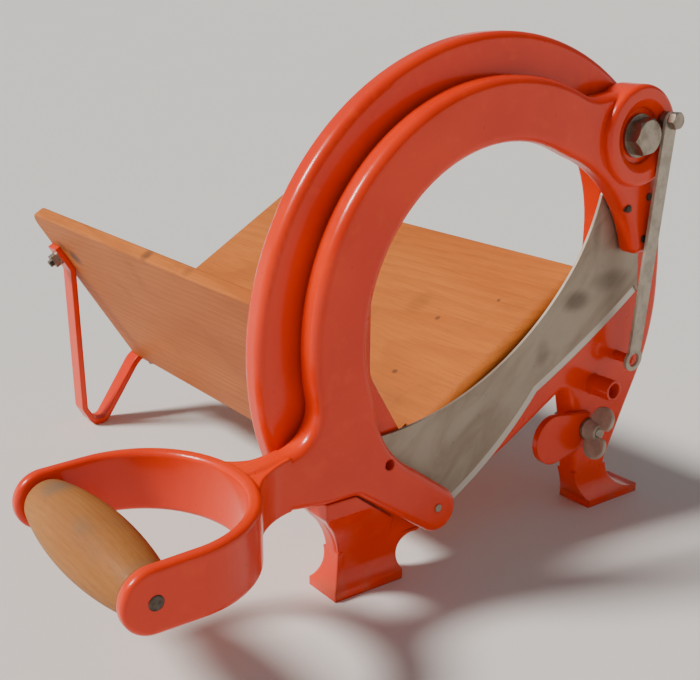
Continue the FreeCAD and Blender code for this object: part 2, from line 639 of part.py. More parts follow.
def make_grip():
    """The turned wooden grip, thickest in the middle, with a bore for its rod."""
    near = YOKE_MIDDLE - YOKE_HALF + YOKE_THICK + GRIP_END_GAP
    far = YOKE_MIDDLE + YOKE_HALF - YOKE_THICK - GRIP_END_GAP
    middle = (near + far) / 2
    bore = ROD_R + 0.08
    points = {name: FreeCAD.Vector(r, y, 0) for name, r, y in (
        ("near_bore", bore, near), ("near_rim", GRIP_END_R, near),
        ("belly", GRIP_BELLY_R, middle), ("far_rim", GRIP_END_R, far), ("far_bore", bore, far))}
    edges = [Part.LineSegment(points["near_bore"], points["near_rim"]).toShape(),
             Part.Arc(points["near_rim"], points["belly"], points["far_rim"]).toShape(),
             Part.LineSegment(points["far_rim"], points["far_bore"]).toShape(),
             Part.LineSegment(points["far_bore"], points["near_bore"]).toShape()]
    face = Part.Face(Part.Wire(edges))
    body = face.revolve(FreeCAD.Vector(0, 0, 0), FreeCAD.Vector(0, 1, 0), 360)
    rims = [edge for edge in body.Edges
            if edge.BoundBox.YLength < 0.01 and edge.BoundBox.XLength > 2 * GRIP_END_R - 1]
    body = body.makeFillet(2.5, rims)
    return moved(body, GRIP_X, 0, GRIP_Z)


def make_grip_rod():
    """The steel rod through the grip, riveted over at both prongs."""
    return pin(GRIP_X, GRIP_Z, ROD_R, YOKE_MIDDLE - YOKE_HALF - 0.5, YOKE_MIDDLE + YOKE_HALF + 0.5)


def make_grip_washers():
    """The washers between the grip and the prongs."""
    near = YOKE_MIDDLE - YOKE_HALF + YOKE_THICK
    far = YOKE_MIDDLE + YOKE_HALF - YOKE_THICK
    thick = GRIP_END_GAP - GAP
    return Part.makeCompound([ring(GRIP_X, GRIP_Z, 7.5, ROD_R, near, near + thick),
                              ring(GRIP_X, GRIP_Z, 7.5, ROD_R, far - thick, far)])


# Trough

SLOPE_UP = FreeCAD.Vector(math.cos(SLOPE), 0, math.sin(SLOPE))
SLOPE_OUT = FreeCAD.Vector(-math.sin(SLOPE), 0, math.cos(SLOPE))


def shelf_screws():
    """The wood screws that hold both boards to the frame's shelves, as solids."""
    screws = []
    y = FRAME_BACK + SHELF_DEPTH / 2
    for distance in (52.0, 132.0):
        x, z = along_slope(distance, RIGHT_THICK + SHELF_THICK)
        screws.append(wood_screw(at(x, z, y), SLOPE_OUT, SHELF_THICK + 11))
    x, z = up_left(20.0, LEFT_THICK + SHELF_THICK)
    screws.append(wood_screw(at(x, z, y), SLOPE_UP, SHELF_THICK + 6))
    return screws


def wood_screw(face_point, inward, depth):
    """A round-headed wood screw whose head stands on a face."""
    axis = FreeCAD.Vector(inward)
    head = bar(face_point - axis * 2.4, axis, 3.8, 2.4)
    return head.fuse(bar(face_point, axis, 2.0, depth))


def board_nails():
    """The nails through the left board into the right board's edge, heads level."""
    x, z = up_left(-RIGHT_THICK / 2, LEFT_THICK)
    nails = []
    for y in NAIL_PLACES:
        start = at(x, z, y)
        nails.append(bar(start, SLOPE_UP, 2.6, 1.0).fuse(bar(start, SLOPE_UP, 1.1, 34.0)))
    return nails


def leg_holes():
    """Every fastener of the rear leg, to be cut out of the boards and the leg."""
    return make_leg_bolt().fuse(make_leg_screws())


def make_left_board():
    """The narrow board: it leans back, its far end is cut aslant and one corner is rounded."""
    places = [(-LEFT_BELOW_VALLEY, FRAME_BACK), (LEFT_WIDTH, FRAME_BACK),
              (LEFT_WIDTH, LEFT_TOP_BACK), (-LEFT_BELOW_VALLEY, TROUGH_BACK)]
    corners = [at(*up_left(distance), y) for distance, y in places]
    face = Part.Face(Part.makePolygon(corners + corners[:1]))
    body = face.extrude(SLOPE_UP * -LEFT_THICK)
    corner = at(*up_left(LEFT_WIDTH, LEFT_THICK / 2), LEFT_TOP_BACK)
    body = body.makeFillet(BOARD_CORNER, [edge for edge in body.Edges
                                          if (edge.CenterOfMass - corner).Length < 0.1])
    body = body.makeFillet(1.6, [edge for edge in body.Edges
                                 if edge.BoundBox.YLength > 200 and edge.CenterOfMass.z > 150])
    for cutter in board_nails() + shelf_screws() + [leg_holes()]:
        body = body.cut(cutter)
    return body


def make_right_board():
    """The wide board that the loaf lies on: its worn front end sits on the window's sill."""
    face = outline(along_slope(0.0), along_slope(RIGHT_WIDTH),
                   along_slope(RIGHT_WIDTH, RIGHT_THICK), along_slope(0.0, RIGHT_THICK))
    front = FRAME_FRONT + 1
    body = slab(face, front, TROUGH_BACK)
    worn = at(*along_slope(RIGHT_WIDTH / 2), front)
    body = body.makeFillet(WORN_EDGE, [edge for edge in body.Edges
                                       if (edge.CenterOfMass - worn).Length < 0.1])
    body = body.makeFillet(1.8, [edge for edge in body.Edges
                                 if edge.BoundBox.YLength > 200 and edge.CenterOfMass.x > 160])
    body = body.cut(Part.makeBox(NOTCH_X + 20, FRAME_BACK - FRAME_FRONT, 150,
                                 FreeCAD.Vector(-20, FRAME_FRONT, 20)))
    for cutter in board_nails() + shelf_screws():
        body = body.cut(cutter)
    return body


# Rear leg

def strip_outline(path, thick):
    """The two sides of a bent strip, as its centre line's offsets with mitred corners."""
    sides = {1: [], -1: []}
    for i, (x, z) in enumerate(path):
        normals = []
        for a, b in ((i - 1, i), (i, i + 1)):
            if a >= 0 and b < len(path):
                dx, dz = path[b][0] - path[a][0], path[b][1] - path[a][1]
                length = math.hypot(dx, dz)
                normals.append((-dz / length, dx / length))
        nx = sum(n[0] for n in normals)
        nz = sum(n[1] for n in normals)
        size = math.hypot(nx, nz)
        nx, nz = nx / size, nz / size
        reach = thick / 2 / (nx * normals[0][0] + nz * normals[0][1])
        for sign in (1, -1):
            sides[sign].append((x + sign * nx * reach, z + sign * nz * reach))
    return sides[1], sides[-1]


def make_rear_leg():
    """The flat iron strip that holds up the back: tab, limb, round foot, limb and lower tab."""
    edge_line = -LEFT_BELOW_VALLEY - LEG_THICK / 2
    path = [up_left(LEG_TOP, LEFT_THICK + LEG_THICK / 2), up_left(LEG_ELBOW, LEFT_THICK + LEG_THICK / 2)]
    path += LEG_SOLE + [up_left(edge_line, LEG_KNEE), up_left(edge_line, LEG_TAIL)]
    right, left = strip_outline(path, LEG_THICK)
    body = slab(outline(*(right + left[::-1])), LEG_FRONT, LEG_BACK)
    body = round_corners(body, (2.0, [right[1]]), (6.0, [left[1]]),
                         (4.0, right[2:5]), (8.0, left[2:5]), (20.0, [right[5]]), (24.0, [left[5]]))
    tab = outline(up_left(-LEFT_BELOW_VALLEY, LEFT_THICK - 1), up_left(-LEFT_BELOW_VALLEY, LEG_TAIL),
                  up_left(-LEFT_BELOW_VALLEY - LEG_THICK, LEG_TAIL),
                  up_left(-LEFT_BELOW_VALLEY - LEG_THICK, LEFT_THICK - 1))
    body = body.fuse(slab(tab, LEG_TAB_FRONT, LEG_FRONT + 2))
    return body.cut(leg_holes()).removeSplitter()


def make_leg_bolt():
    """The countersunk bolt through the left board and the leg's upper tab."""
    x, z = up_left(LEG_BOLT_PLACE)
    start = at(x, z, (LEG_FRONT + LEG_BACK) / 2)
    outward = FreeCAD.Vector(SLOPE_UP) * -1
    head = Part.makeCone(4.6, LEG_BOLT_R, 2.6, start, outward)
    return head.fuse(bar(start, outward, LEG_BOLT_R, LEFT_THICK + LEG_THICK + 8.0))


def make_leg_nut():
    """The hexagon nut and its washer on the leg's upper tab."""
    x, z = up_left(LEG_BOLT_PLACE, LEFT_THICK + LEG_THICK)
    start = at(x, z, (LEG_FRONT + LEG_BACK) / 2)
    outward = FreeCAD.Vector(SLOPE_UP) * -1
    washer = bar(start, outward, 5.5, 1.0)
    nut = hexagon(0, 0, 9.0, 0, 4.2)
    nut.rotate(FreeCAD.Vector(0, 0, 0), FreeCAD.Vector(0, 0, 1), 90)
    nut.rotate(FreeCAD.Vector(0, 0, 0), FreeCAD.Vector(0, 1, 0), -math.degrees(SLOPE))
    nut.translate(start + outward * 1.0)
    return washer.fuse(nut).cut(bar(start, outward, LEG_BOLT_R, 12.0))


def make_leg_screws():
    """The two wood screws through the leg's lower tab into the left board's edge."""
    x, z = up_left(-LEFT_BELOW_VALLEY - LEG_THICK, LEFT_THICK / 2)
    screws = [wood_screw(at(x, z, y), SLOPE_OUT, LEG_THICK + 12.0)
              for y in (LEG_TAB_FRONT + 5.0, LEG_FRONT + 6.0)]
    return Part.makeCompound(screws)


def make_shelf_screws():
    """The wood screws of the shelves, as one node."""
    return Part.makeCompound(shelf_screws())


def make_board_nails():
    """The nails of the trough, as one node."""
    return Part.makeCompound(board_nails())


MAKERS = {
    "frame": make_frame,
    "arm": make_arm,
    "blade": make_blade,
    "blade_tip_screw": make_tip_screw,
    "blade_heel_screws": make_heel_screws,
    "pivot_bush": make_pivot_bush,
    "pivot_bolt": make_pivot_bolt,
    "pivot_head_washer": make_head_washer,
    "pivot_thrust_washer": make_thrust_washer,
    "pivot_back_washer": make_back_washer,
    "pivot_spring_washer": make_spring_washer,
    "pivot_nut": make_pivot_nut,
    "lock_strap": make_lock_strap,
    "strap_screw": make_strap_screw,
    "strap_washer": make_strap_washer,
    "stop_paddle": make_stop_paddle,
    "paddle_stud": make_paddle_stud,
    "paddle_washer": make_paddle_washer,
    "wing_nut": make_wing_nut,
    "grip": make_grip,
    "grip_rod": make_grip_rod,
    "grip_washers": make_grip_washers,
    "left_board": make_left_board,
    "right_board": make_right_board,
    "board_nails": make_board_nails,
    "shelf_screws": make_shelf_screws,
    "rear_leg": make_rear_leg,
    "leg_bolt": make_leg_bolt,
    "leg_nut": make_leg_nut,
    "leg_screws": make_leg_screws,
}


def main():
    """Make every sub-part, move them to the shared origin and write them."""
    shapes = {name: maker() for name, maker in MAKERS.items()}
    box = FreeCAD.BoundBox()
    for shape in shapes.values():
        box.add(shape.optimalBoundingBox(False))
    shift = FreeCAD.Vector(-(box.XMin + box.XMax) / 2, -(box.YMin + box.YMax) / 2, -box.ZMin)
    os.makedirs("parts", exist_ok=True)
    for name, shape in shapes.items():
        placed = moved(shape, shift.x, shift.y, shift.z)
        placed.exportStep("parts/%s.step" % name)
        print("%-20s valid %s, solids %d, %.1f cm3" % (name, placed.isValid(), len(placed.Solids),
                                                       placed.Volume / 1000))
    print("moved by", [round(value, 3) for value in shift])
    print("size", [round(value, 2) for value in (box.XLength, box.YLength, box.ZLength)])


main()
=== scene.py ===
"""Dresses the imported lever-arm bread slicer: finishes, threads, screw heads, floor, light and camera.

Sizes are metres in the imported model's frame. The slicer's drawing is in millimetres, from the near
left corner of the left foot. Drawing.place turns a place of the drawing into one of the frame.
"""

import json
import logging
import math
from dataclasses import dataclass
from enum import Enum
from typing import Any, Sequence

import bpy
import numpy as np
from mathutils import Matrix, Vector

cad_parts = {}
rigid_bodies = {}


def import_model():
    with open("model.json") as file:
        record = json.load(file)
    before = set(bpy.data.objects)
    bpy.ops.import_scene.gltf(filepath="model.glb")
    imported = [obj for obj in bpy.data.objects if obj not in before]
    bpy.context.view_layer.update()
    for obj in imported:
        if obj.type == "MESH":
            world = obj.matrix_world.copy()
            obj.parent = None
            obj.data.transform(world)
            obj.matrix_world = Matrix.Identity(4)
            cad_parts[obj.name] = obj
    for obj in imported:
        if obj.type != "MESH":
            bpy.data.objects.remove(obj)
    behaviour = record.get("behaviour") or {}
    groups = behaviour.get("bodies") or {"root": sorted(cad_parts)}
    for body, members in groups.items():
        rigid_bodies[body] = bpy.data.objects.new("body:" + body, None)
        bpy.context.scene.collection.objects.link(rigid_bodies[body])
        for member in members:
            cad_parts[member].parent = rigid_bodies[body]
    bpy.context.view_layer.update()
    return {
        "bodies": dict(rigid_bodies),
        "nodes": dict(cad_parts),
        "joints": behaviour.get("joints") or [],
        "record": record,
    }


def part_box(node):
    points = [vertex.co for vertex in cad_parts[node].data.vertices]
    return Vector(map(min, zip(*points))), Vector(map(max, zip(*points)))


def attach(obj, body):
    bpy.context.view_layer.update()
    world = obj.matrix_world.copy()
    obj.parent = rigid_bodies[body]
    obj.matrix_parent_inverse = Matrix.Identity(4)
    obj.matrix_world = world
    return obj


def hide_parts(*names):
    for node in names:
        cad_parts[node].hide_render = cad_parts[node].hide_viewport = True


MM = 0.001

# Places of the drawing, in millimetres

PIVOT_X, PIVOT_Z = 202, 238
BUSH_FRONT = -12
STUD_X, STUD_Z = 192, 57
GRIP_X, GRIP_Z = -135.5, 77.6
ROD_FRONT, ROD_BACK = -64.0, 59.0
BLADE_FRONT, BLADE_MIDDLE = 1.5, 2.4
VALLEY_X, VALLEY_Z = 37.8, 69.9
SHELF_SCREW_Y, SHELF_SCREW_PLACES = 27, (52, 132)
SHELF_UNDER = 20
SIDE_SCREW_PLACE, SIDE_SHELF_BACK = 20, 13.8
TAB_SCREW_YS = (304, 322)
TAB_SCREW_ASIDE, TAB_UNDER = 4.4, 24.4
LEG_BOLT_Y, LEG_BOLT_PLACE = 323, 79.4

# Angles

SLOPE = math.radians(31.6)
SHARP_TURN = math.radians(40.0)

log = logging.getLogger("slicer")

Rgb = tuple[float, float, float]
Triple = tuple[float, float, float]


def linear(red: int, green: int, blue: int) -> Rgb:
    """Turn a display colour into the linear colour that shaders take.

    Args:
        red, green, blue: the display colour, 0 to 255.

    Returns:
        The linear colour, 0 to 1.
    """
    parts = []
    for channel in (red, green, blue):
        share = channel / 255
        parts.append(share / 12.92 if share <= 0.04045 else ((share + 0.055) / 1.055) ** 2.4)
    return tuple(parts)


# Shader maths

class Value:
    """A number socket of a node tree, with Python's arithmetic."""

    def __init__(self, bench: "Bench", socket: bpy.types.NodeSocket) -> None:
        """Keep the bench and the socket."""
        self.bench = bench
        self.socket = socket

    def _maths(self, operation: str, *others: Any, clamp: bool = False) -> "Value":
        """Add a Math node.

        Args:
            operation: the Math node's operation.
            others: its inputs in order, Values or numbers.
            clamp: keep the result between 0 and 1.

        Returns:
            The node's result.
        """
        inputs = dict(enumerate(others))
        node = self.bench.node("ShaderNodeMath", {"operation": operation, "use_clamp": clamp}, inputs)
        return Value(self.bench, node.outputs[0])

    def __add__(self, other: Any) -> "Value":
        """Sum."""
        return self._maths("ADD", self, other)

    def __sub__(self, other: Any) -> "Value":
        """Difference."""
        return self._maths("SUBTRACT", self, other)

    def __rsub__(self, other: Any) -> "Value":
        """Difference, the other way round."""
        return self._maths("SUBTRACT", other, self)

    def __mul__(self, other: Any) -> "Value":
        """Product."""
        return self._maths("MULTIPLY", self, other)

    def __truediv__(self, other: Any) -> "Value":
        """Quotient."""
        return self._maths("DIVIDE", self, other)

    def __pow__(self, other: Any) -> "Value":
        """Power."""
        return self._maths("POWER", self, other)

    def __abs__(self) -> "Value":
        """Absolute value."""
        return self._maths("ABSOLUTE", self)

    def clamped(self) -> "Value":
        """The value, kept between 0 and 1."""
        return self._maths("ADD", self, 0.0, clamp=True)

    def step(self, low: float, high: float) -> "Value":
        """A smooth step.

        Args:
            low: where the step starts. It may be above high, and then the step falls.
            high: where it ends.

        Returns:
            0 before the step and 1 after it.
        """
        turned = low > high
        node = self.bench.node("ShaderNodeMapRange", {"interpolation_type": "SMOOTHSTEP"},
                               {0: self, 1: min(low, high), 2: max(low, high),
                                3: 1.0 if turned else 0.0, 4: 0.0 if turned else 1.0})
        return Value(self.bench, node.outputs[0])


class Bench:
    """The node tree of one material, and the ways to add to it."""

    def __init__(self, name: str) -> None:
        """Start an empty material.

        Args:
            name: the material's name.
        """
        self.material = bpy.data.materials.new(name)
        self.material.use_nodes = True
        self.tree = self.material.node_tree
        self.tree.nodes.clear()

    def node(self, kind: str, settings: dict[str, Any], inputs: dict[Any, Any]) -> bpy.types.Node:
        """Add a node.

        Args:
            kind: the node's type.
            settings: its properties, set first.
            inputs: the values or links of its sockets, by number or name.

        Returns:
            The new node.
        """
        made = self.tree.nodes.new(kind)
        for key, setting in settings.items():
            setattr(made, key, setting)
        for key, given in inputs.items():
            socket = made.inputs[key]
            if isinstance(given, Value):
                given = given.socket
            if isinstance(given, bpy.types.NodeSocket):
                self.tree.links.new(given, socket)
            elif isinstance(given, tuple) and len(given) == 3 and socket.type == "RGBA":
                socket.default_value = (*given, 1.0)
            else:
                socket.default_value = given
        return made

    def place(self) -> bpy.types.NodeSocket:
        """The place on the piece, in metres."""
        return self.node("ShaderNodeTexCoord", {}, {}).outputs["Object"]

    def mapped(self, vector: bpy.types.NodeSocket, move: Triple = (0, 0, 0), turn: Triple = (0, 0, 0),
               scale: Triple = (1, 1, 1)) -> bpy.types.NodeSocket:
        """Scale, turn and move a place with a Mapping node, in that order.

        Args:
            vector: the place.
            move: the shift.
            turn: the turns about X, Y and Z, in radians.
            scale: the scales.

        Returns:
            The mapped place.
        """
        node = self.node("ShaderNodeMapping", {"vector_type": "POINT"},
                         {"Vector": vector, "Location": move, "Rotation": turn, "Scale": scale})
        return node.outputs[0]

    def split(self, vector: bpy.types.NodeSocket) -> tuple[Value, Value, Value]:
        """The three numbers of a vector."""
        node = self.node("ShaderNodeSeparateXYZ", {}, {0: vector})
        return tuple(Value(self, node.outputs[i]) for i in range(3))

    def facing(self) -> tuple[Value, Value, Value]:
        """The three numbers of the surface's own direction."""
        return self.split(self.node("ShaderNodeTexCoord", {}, {}).outputs["Normal"])

    def noise(self, vector: bpy.types.NodeSocket, scale: float, detail: float = 3.0,
              rough: float = 0.5, bend: float = 0.0) -> Value:
        """Soft noise round 0.5.

        Args:
            vector: the place that it reads.
            scale: lumps per metre.
            detail: octaves.
            rough: the share of each finer octave.
            bend: distortion.

        Returns:
            The noise.
        """
        node = self.node("ShaderNodeTexNoise", {}, {"Vector": vector, "Scale": scale, "Detail": detail,
                                                    "Roughness": rough, "Distortion": bend})
        return Value(self, node.outputs[0])

    def cells(self, vector: bpy.types.NodeSocket, scale: float) -> Value:
        """Distance to scattered points, as cells per metre."""
        node = self.node("ShaderNodeTexVoronoi", {}, {"Vector": vector, "Scale": scale})
        return Value(self, node.outputs["Distance"])

    def spot(self, vector: bpy.types.NodeSocket, centre: Triple, radii: Triple) -> Value:
        """One soft oval spot: 1 in its middle, 0 outside.

        Args:
            vector: the place.
            centre: its middle.
            radii: its half sizes.

        Returns:
            The spot's strength.
        """
        shifted = self.node("ShaderNodeVectorMath", {"operation": "SUBTRACT"}, {0: vector, 1: centre})
        scaled = self.node("ShaderNodeVectorMath", {"operation": "DIVIDE"},
                           {0: shifted.outputs[0], 1: radii})
        size = self.node("ShaderNodeVectorMath", {"operation": "LENGTH"}, {0: scaled.outputs[0]})
        return Value(self, size.outputs["Value"]).step(1.0, 0.25)

    def blend(self, share: Any, first: Any, second: Any) -> bpy.types.NodeSocket:
        """Mix two colours.

        Args:
            share: how much of the second, 0 to 1.
            first, second: colours or links.

        Returns:
            The mixed colour.
        """
        node = self.node("ShaderNodeMix", {"data_type": "RGBA"}, {0: share, 6: first, 7: second})
        return node.outputs[2]

    def soft_normal(self, radius: float) -> bpy.types.NodeSocket:
        """The surface's direction with its edges and joints rounded to a radius."""
        node = self.node("ShaderNodeBevel", {"samples": 6}, {"Radius": radius})
        return node.outputs[0]

    def bump(self, height: Value, depth: float, strength: float = 1.0,
             normal: bpy.types.NodeSocket | None = None) -> bpy.types.NodeSocket:
        """Bump a surface.

        Args:
            height: the pattern, 0 to 1.
            depth: how deep the pattern is, in metres.
            strength: the node's strength.
            normal: the direction that it starts from.

        Returns:
            The bumped direction.
        """
        inputs: dict[Any, Any] = {"Strength": strength, "Distance": depth, "Height": height}
        if normal is not None:
            inputs["Normal"] = normal
        return self.node("ShaderNodeBump", {}, inputs).outputs[0]

    def surface(self, **sockets: Any) -> bpy.types.Material:
        """Finish the material with a Principled surface.

        Args:
            sockets: its sockets' values or links. An underscore stands for a space.

        Returns:
            The material.
        """
        inputs = {name.replace("_", " "): value for name, value in sockets.items()}
        shader = self.node("ShaderNodeBsdfPrincipled", {}, inputs)
        self.node("ShaderNodeOutputMaterial", {}, {0: shader.outputs[0]})
        return self.material


# Finishes

@dataclass(frozen=True)
class Enamel:
    """Glossy stove enamel over cast iron, chipped where it rubs."""

    paint: Rgb = linear(236, 54, 0)
    thin: Rgb = linear(240, 68, 0)
    deep: Rgb = linear(220, 44, 0)
    iron: Rgb = linear(86, 66, 56)
    grime: Rgb = linear(150, 110, 84)
    roughness: float = 0.30
    coat: float = 0.35
    specular: float = 0.25
    edge_radius: float = 2.2 * MM
    rubbed_height: float = 9 * MM
    grime_height: float = 20 * MM
    lump_depth: float = 0.45 * MM

    def make(self) -> bpy.types.Material:
        """Mix three shades by noise, chip it, most near the soles, and bump it like cast iron.

        Returns:
            The material.
        """
        bench = Bench("orange_enamel")
        place = bench.place()
        height = bench.split(place)[2]
        broad = bench.noise(place, 14.0, 3.0)
        fine = bench.noise(place, 120.0, 4.0)
        colour = bench.blend(broad.step(0.30, 0.70), self.deep, self.paint)
        colour = bench.blend(fine.step(0.52, 0.78) * 0.35, colour, self.thin)
        rubbed = height.step(self.rubbed_height, 0.5 * MM) * 0.10
        scar = bench.noise(place, 210.0, 5.0, 0.62) + rubbed
        chips = scar.step(0.742, 0.762)
        colour = bench.blend(chips, colour, self.iron)
        dust = height.step(self.grime_height, 0.0) * bench.noise(place, 60.0, 4.0).step(0.4, 0.7)
        colour = bench.blend(dust * 0.35, colour, self.grime)
        lumps = bench.noise(place, 75.0, 2.0) * 0.75 + bench.noise(place, 330.0, 2.0) * 0.25
        edges = bench.soft_normal(self.edge_radius)
        return bench.surface(
            Base_Color=colour,
            Roughness=chips * 0.35 + dust * 0.2 + fine * 0.12 + (self.roughness - 0.06),
            Coat_Weight=(1.0 - chips).clamped() * self.coat, Coat_Roughness=0.12,
            Specular_IOR_Level=self.specular,
            Normal=bench.bump(lumps - chips * 0.35, self.lump_depth, 0.5, edges))


@dataclass(frozen=True)
class BladeSteel:
    """Old carbon steel: ground, dull, stained along its length.

    Each of its patches has its middle's x and z, its half width and half height, in millimetres of
    the drawing, and its strength.
    """

    steel: Rgb = linear(168, 154, 138)
    stain: Rgb = linear(140, 120, 102)
    dark: Rgb = linear(70, 56, 48)
    bright: Rgb = linear(205, 198, 188)
    roughness: float = 0.52
    slant: float = math.radians(42)
    patches: tuple[tuple[float, ...], ...] = (
        (176, 141, 16, 9, 0.75), (150, 113, 8, 12, 0.35), (205, 150, 22, 9, 0.5), (190, 180, 5, 18, 0.35))
    patch_depth: float = 12 * MM
    line_depth: float = 0.05 * MM

    def make(self, drawing: "Drawing") -> bpy.types.Material:
        """Lay stains in patches, a bright bevel where the blade is ground back, and grinding lines.

        Args:
            drawing: gives the places of the stains.

        Returns:
            The material.
        """
        bench = Bench("blade_steel")
        place = bench.place()
        along = bench.mapped(place, turn=(0, self.slant, 0))
        clouds = bench.noise(bench.mapped(along, scale=(0.5, 1, 1.6)), 42.0, 5.0, 0.6, 0.6)
        colour = bench.blend(clouds.step(0.38, 0.76) * 0.6, self.steel, self.stain)
        spots = bench.noise(place, 95.0, 6.0, 0.7).step(0.60, 0.74)
        colour = bench.blend(spots * 0.18, colour, self.dark)
        for x, z, wide, tall, share in self.patches:
            mark = bench.spot(place, drawing.place(x, BLADE_MIDDLE, z),
                              (wide * MM, self.patch_depth, tall * MM))
            colour = bench.blend(mark * (clouds + 0.3).clamped() * share, colour, self.dark)
        depth = bench.split(place)[1] - drawing.place(0, BLADE_FRONT, 0)[1]
        ground = depth.step(0.4 * MM, 0.7 * MM) * bench.facing()[1].step(-0.9, -0.97)
        colour = bench.blend(ground * 0.75, colour, self.bright)
        lines = bench.noise(bench.mapped(along, scale=(0.02, 1, 1)), 2600.0, 2.0)
        return bench.surface(
            Base_Color=colour, Metallic=(0.85 - spots * 0.2) - clouds * 0.1,
            Roughness=clouds * 0.22 + spots * 0.15 - ground * 0.12 + (self.roughness - 0.08),
            Normal=bench.bump(lines, self.line_depth, 0.35, bench.soft_normal(0.3 * MM)))


@dataclass(frozen=True)
class Zinc:
    """Galvanised small steel, dulled and greasy in places, or other small steel in its own colours."""

    name: str = "zinc"
    metal: Rgb = linear(158, 146, 132)
    dull: Rgb = linear(132, 120, 106)
    rust: Rgb = linear(104, 70, 48)
    flake: Rgb = linear(206, 202, 196)
    rust_share: float = 0.14
    roughness: float = 0.42
    metallic: float = 0.92
    grain_depth: float = 0.06 * MM

    def make(self) -> bpy.types.Material:
        """Mix clean, dulled and rusty metal by noise, with pale flakes.

        Returns:
            The material.
        """
        bench = Bench(self.name)
        place = bench.place()
        flakes = bench.cells(place, 420.0).step(0.1, 0.8)
        clouds = bench.noise(place, 150.0, 4.0)
        colour = bench.blend(clouds.step(0.38, 0.66), self.metal, self.dull)
        colour = bench.blend(flakes * 0.08, colour, self.flake)
        rust = bench.noise(place, 310.0, 5.0, 0.65).step(0.56, 0.72) * self.rust_share
        colour = bench.blend(rust, colour, self.rust)
        grain = bench.noise(place, 1500.0, 2.0)
        return bench.surface(
            Base_Color=colour, Metallic=(self.metallic - rust * self.metallic).clamped(),
            Roughness=clouds * 0.2 + rust * 0.4 + (self.roughness - 0.1),
            Normal=bench.bump(grain, self.grain_depth, 0.4, bench.soft_normal(0.35 * MM)))


@dataclass(frozen=True)
class Bronze:
    """Bearing bronze, browned."""

    metal: Rgb = linear(178, 132, 74)
    brown: Rgb = linear(110, 74, 42)

    def make(self) -> bpy.types.Material:
        """Mix fresh and browned bronze, with fine turning marks.

        Returns:
            The material.
        """
        bench = Bench("bronze")
        place = bench.place()
        clouds = bench.noise(place, 180.0, 4.0)
        colour = bench.blend(clouds.step(0.35, 0.65), self.metal, self.brown)
        turning = bench.noise(bench.mapped(place, scale=(0.05, 1, 0.05)), 3000.0, 1.0)
        return bench.surface(Base_Color=colour, Metallic=0.95, Roughness=clouds * 0.25 + 0.22,
                             Normal=bench.bump(turning, 0.04 * MM, 0.4))


@dataclass(frozen=True)
class Timber:
    """A wood whose growth rings are tubes round a line that runs along Y."""

    name: str
    pale: Rgb
    tan: Rgb
    late: Rgb
    # colour of the soiling and of the dark marks; on the boards these include a painted shadow
    soil_and_shadow: Rgb
    ring_width: float
    heart: Triple
    tilt: float
    roughness: float
    coat: float
    soil_share: float
    ring_share: float
    wander: float = 4.2
    specular: float = 0.2
    pore_depth: float = 0.16 * MM
    edge_radius: float = 1.0 * MM

    def rings(self, bench: Bench, place: bpy.types.NodeSocket) -> Value:
        """Growth rings.

        Distance from the heart line, bent by noise that is long in Y, gives a saw of soft early wood
        that darkens to a thin line of late wood.

        Args:
            bench: the material's bench.
            place: the place on the piece.

        Returns:
            0 in early wood, 1 in late wood.
        """
        centred = bench.mapped(place, move=tuple(-part for part in self.heart))
        tilted = bench.mapped(centred, turn=(self.tilt, 0, self.tilt * 0.7))
        x, _, z = bench.split(tilted)
        bend = bench.noise(bench.mapped(place, scale=(1, 0.16, 1)), 17.0, 3.0)
        reach = (x * x + z * z) ** 0.5 + bend * (self.wander * self.ring_width)
        phase = reach / self.ring_width
        saw = phase - Value(bench, bench.node("ShaderNodeMath", {"operation": "FLOOR"},
                                              {0: phase}).outputs[0])
        return saw.step(0.25, 0.92) * saw.step(1.0, 0.93)

    def make(self, marks: Sequence[tuple[Triple, Triple, float]]) -> bpy.types.Material:
        """Colour the rings, pores and soiling, and the dark marks, which on the boards include a painted
        shadow, and open the end grain.

        Args:
            marks: dark marks as middle, half sizes and strength; on the boards two of them are a painted
                shadow of the rear leg's tab.

        Returns:
            The material.
        """
        bench = Bench(self.name)
        place = bench.place()
        late = self.rings(bench, place)
        broad = bench.noise(bench.mapped(place, scale=(1, 0.3, 1)), 16.0, 3.0)
        fibre = bench.noise(bench.mapped(place, scale=(1, 0.035, 1)), 900.0, 3.0, 0.6)
        pores = bench.noise(bench.mapped(place, scale=(1, 0.05, 1)), 2100.0, 2.0).step(0.60, 0.72)
        colour = bench.blend(broad.step(0.35, 0.68), self.pale, self.tan)
        colour = bench.blend(late * self.ring_share, colour, self.late)
        colour = bench.blend((fibre.step(0.4, 0.7) * 0.25) + pores * 0.22, colour, self.late)
        soil = bench.noise(place, 30.0, 5.0, 0.6, 0.4).step(0.54, 0.74) * self.soil_share
        colour = bench.blend(soil, colour, self.soil_and_shadow)
        # dark marks, and on the boards a painted shadow of the rear leg's tab, all in the soil-and-shadow
        # colour
        for centre, radii, strength in marks:
            ragged = bench.noise(place, 160.0, 4.0, 0.6) + 0.45
            colour = bench.blend((bench.spot(place, centre, radii) * ragged * strength).clamped(),
                                 colour, self.soil_and_shadow)
        end = abs(bench.facing()[1]).step(0.75, 0.92)
        colour = bench.blend(end * 0.35, colour, self.late)
        relief = fibre * 0.55 - pores * 0.5 - late * 0.2
        return bench.surface(
            Base_Color=colour,
            Roughness=fibre * 0.16 + soil * 0.15 + end * 0.15 + (self.roughness - 0.08),
            Coat_Weight=self.coat - end * self.coat, Coat_Roughness=0.28,
            Specular_IOR_Level=self.specular,
            Normal=bench.bump(relief, self.pore_depth, 0.55, bench.soft_normal(self.edge_radius)))


